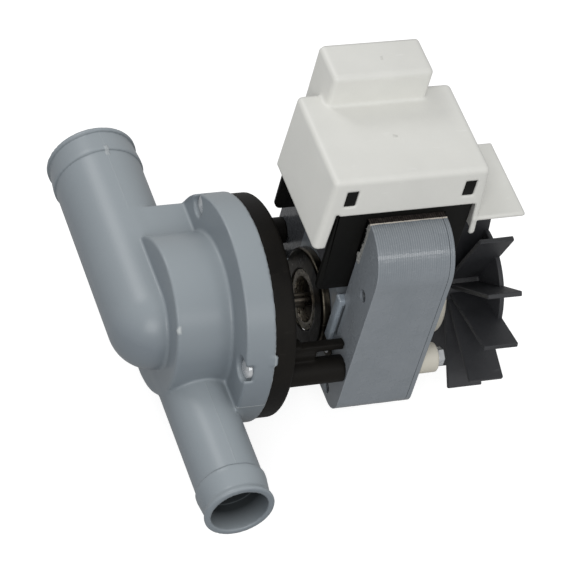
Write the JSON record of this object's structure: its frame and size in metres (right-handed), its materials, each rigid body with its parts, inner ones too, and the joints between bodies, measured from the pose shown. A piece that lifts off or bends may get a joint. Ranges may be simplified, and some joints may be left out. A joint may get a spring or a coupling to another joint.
{
  "type": "washer drain pump",
  "caption": "Drain pump for a washing machine with a grey volute, side hose tubes, an open shaded-pole motor, a white coil cover and a cooling fan.",
  "frame": {"origin": "on the shaft axis, in the joint face between the pump housing and the back plate", "axes": "+X along the shaft from the pump to the fan, +Y along the inlet tube to its open end, +Z from the shaft to the coil"},
  "size_m": [0.169, 0.1804, 0.162],
  "materials": {
    "grey_plastic": "satin moulded, glass filled",
    "black_plastic": "satin moulded",
    "charcoal_plastic": "satin moulded",
    "white_plastic": "satin moulded",
    "cream_plastic": "satin moulded",
    "black_rubber": "matt",
    "felt": "oil-soaked felt",
    "bronze": "sintered",
    "zinc_steel": "zinc plated",
    "ground_steel": "ground",
    "lamination_steel": "stamped, oiled",
    "cast_aluminium": "die cast",
    "stator_paint": "dipped satin paint",
    "copper": "enamelled wire",
    "tape": "insulating tape",
    "tin_plate": "tin plated"
  },
  "bodies": {
    "pump_and_motor": {"pump_housing": "grey_plastic", "housing_screws": "zinc_steel", "housing_seal": "black_rubber", "back_plate": "black_plastic", "shaft_seal": "black_rubber", "front_felt_ring": "felt", "front_bush": "bronze", "front_bush_clip": "zinc_steel", "rotor_shield": "zinc_steel", "shield_rivets": "zinc_steel", "stator_stack": "stator_paint", "coil_core": "lamination_steel", "stack_rivets": "stator_paint", "shading_rings": "stator_paint", "coil_bobbin": "black_plastic", "coil_winding": "copper", "coil_tape": "tape", "thermal_cutout": "white_plastic", "terminal_tabs": "tin_plate", "coil_cover": "white_plastic", "rear_bracket": "cream_plastic", "rear_bush": "bronze", "rear_bush_clip": "zinc_steel", "rear_felt_ring": "felt", "motor_screws": "zinc_steel"},
    "rotor": {"shaft": "ground_steel", "rotor_core": "lamination_steel", "rotor_cage": "cast_aluminium", "impeller": "white_plastic", "impeller_nut": "zinc_steel", "slinger_ring": "black_rubber", "thrust_washers": "white_plastic", "fan": "charcoal_plastic", "fan_clip": "zinc_steel"}
  },
  "joints": [
    {"name": "rotor_spin", "type": "hinge", "parent": "pump_and_motor", "child": "rotor", "pos_m": [0, 0, 0], "axis": [1, 0, 0], "continuous": true}
  ]
}
